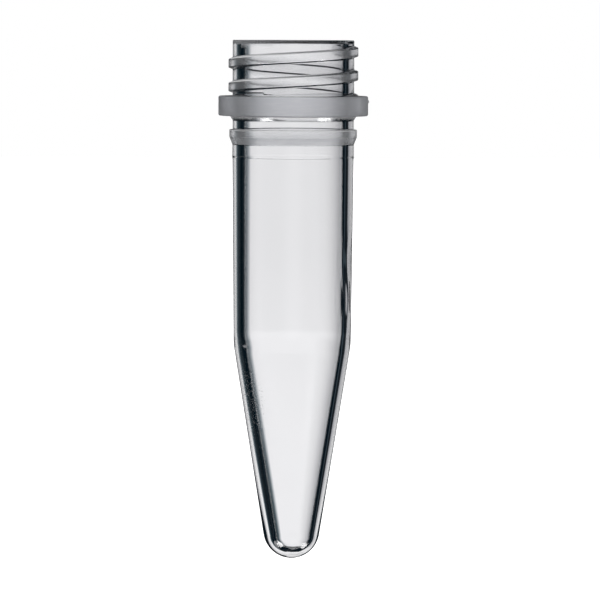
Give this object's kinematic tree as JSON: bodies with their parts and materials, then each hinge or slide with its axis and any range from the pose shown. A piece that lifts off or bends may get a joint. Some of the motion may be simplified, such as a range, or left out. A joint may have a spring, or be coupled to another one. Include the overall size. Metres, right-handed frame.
{
  "type": "microcentrifuge tube",
  "caption": "Clear screw-neck microcentrifuge tube, 1.5 ml class, conical with a round tip, external cap thread, hanging collar, loop groove and snap bead; cap off.",
  "frame": {"origin": "on the tube's axis, in the plane of the collar's underside, where the tube hangs in a rack", "axes": "+Z along the tube's axis towards the open mouth, the round tip at -Z; +X points at the gate trace on the collar's edge"},
  "size_m": [0.0127, 0.0126, 0.0441],
  "materials": {
    "clear_polypropylene": "clarified polypropylene, clear and polished on the walls, slightly milky in the thick collar, thread and bead"
  },
  "bodies": {
    "root": {"tube": "clear_polypropylene"}
  },
  "joints": []
}
